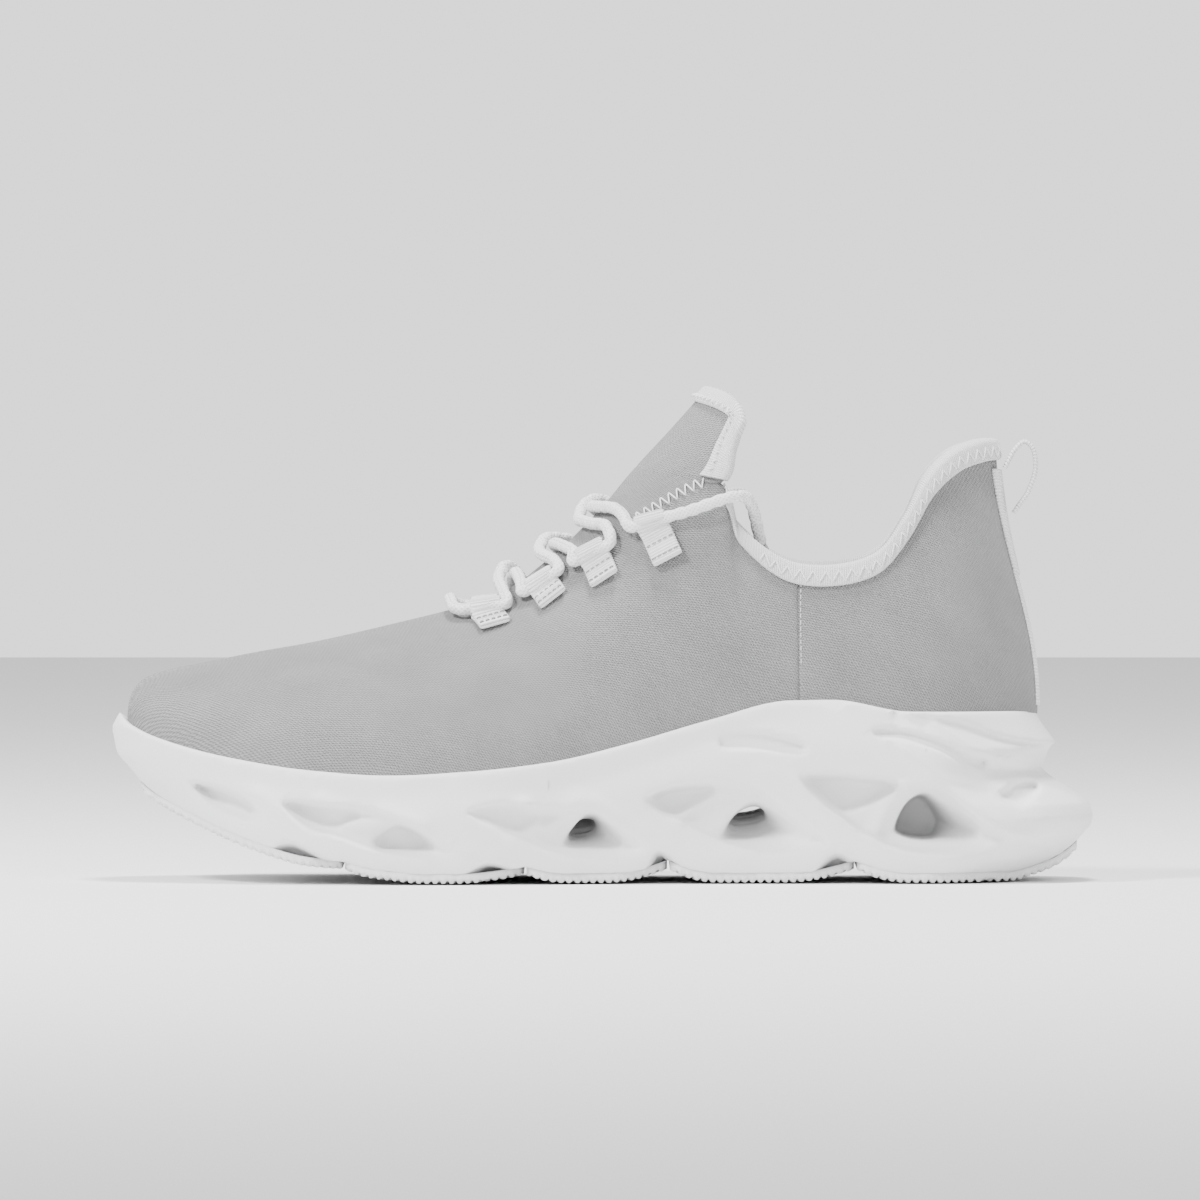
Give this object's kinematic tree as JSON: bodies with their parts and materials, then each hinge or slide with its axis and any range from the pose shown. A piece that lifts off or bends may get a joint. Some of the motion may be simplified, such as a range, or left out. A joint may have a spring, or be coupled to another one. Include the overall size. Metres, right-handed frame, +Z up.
{
  "type": "running shoe",
  "caption": "Left running shoe with a lace-up knit upper, padded ankle collar, heel pull loop and a thick sculpted foam sole with windows and separate tread pads.",
  "frame": {"origin": "on the ground under the middle of the sole", "axes": "+X from toe to heel along the shoe, +Y towards the inner side of the foot, +Z up"},
  "size_m": [0.3049, 0.1102, 0.1521],
  "materials": {
    "foam": "fine matt stipple of moulded foam",
    "outsole": "matt tread rubber",
    "knit": "fine diagonal knit",
    "board": "non-woven board",
    "insole": "brushed textile over foam",
    "stiffener": "pressed stiffener sheet",
    "padding": "open foam",
    "lining": "smooth warp knit",
    "binding": "ribbed knit tape",
    "webbing": "grosgrain webbing",
    "lace": "round braid",
    "aglet": "smooth moulded tip"
  },
  "bodies": {
    "shoe": {"midsole": "foam", "outsole_toe": "outsole", "outsole_forefoot": "outsole", "outsole_midfoot": "outsole", "outsole_rearfoot": "outsole", "outsole_heel": "outsole", "strobel_board": "board", "forefoot_upper": "knit", "throat_gusset": "knit", "heel_upper": "knit", "toe_puff": "stiffener", "heel_counter": "stiffener", "collar_foam": "padding", "heel_lining": "lining", "collar_binding": "binding", "heel_tape": "webbing", "lace_loop_lateral_1": "webbing", "lace_loop_lateral_2": "webbing", "lace_loop_lateral_3": "webbing", "lace_loop_lateral_4": "webbing", "lace_loop_medial_1": "webbing", "lace_loop_medial_2": "webbing", "lace_loop_medial_3": "webbing", "lace_loop_medial_4": "webbing", "lace": "lace", "aglet_lateral": "aglet", "aglet_medial": "aglet"},
    "insole": {"insole": "insole"},
    "tongue": {"tongue_flap": "knit", "tongue_binding": "binding"},
    "pull_loop": {"heel_pull_loop": "webbing"}
  },
  "joints": [
    {"name": "tongue_tilt", "type": "hinge", "parent": "shoe", "child": "tongue", "pos_m": [0.0105, 0, 0.1276], "axis": [0, -1, 0], "range_deg": [0, 25]},
    {"name": "pull_loop_bend", "type": "hinge", "parent": "shoe", "child": "pull_loop", "pos_m": [0.1268, 0, 0.1126], "axis": [0, 1, 0], "range_deg": [0, 30], "stiffness_Nm_per_rad": 0.004},
    {"name": "insole_lift", "type": "hinge", "parent": "shoe", "child": "insole", "pos_m": [-0.1425, 0, 0.0405], "axis": [0, -1, 0], "range_deg": [0, 5]}
  ]
}
